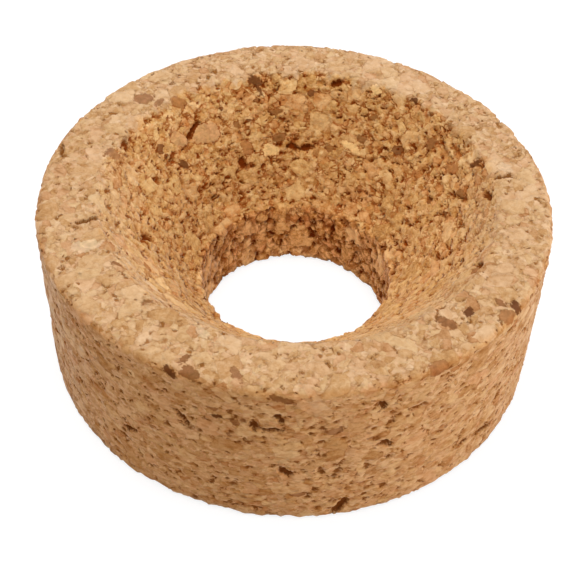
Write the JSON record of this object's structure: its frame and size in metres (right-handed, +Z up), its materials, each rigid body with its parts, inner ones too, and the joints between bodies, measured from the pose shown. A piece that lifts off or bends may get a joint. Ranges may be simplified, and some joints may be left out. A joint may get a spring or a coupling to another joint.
{
  "type": "cork ring",
  "caption": "Thick round ring of bonded cork with a straight bore and a conical seat in its top face, which holds a round-bottomed flask upright on a bench.",
  "frame": {"origin": "centre of the bottom face, on the ring's axis", "axes": "+Z up along the ring's axis, out of the conical seat; the ring is round, so +X and +Y are any two directions across it"},
  "size_m": [0.08, 0.08, 0.03],
  "materials": {
    "cork": "matt bonded cork granules"
  },
  "bodies": {
    "root": {"cork_ring": "cork"}
  },
  "joints": []
}
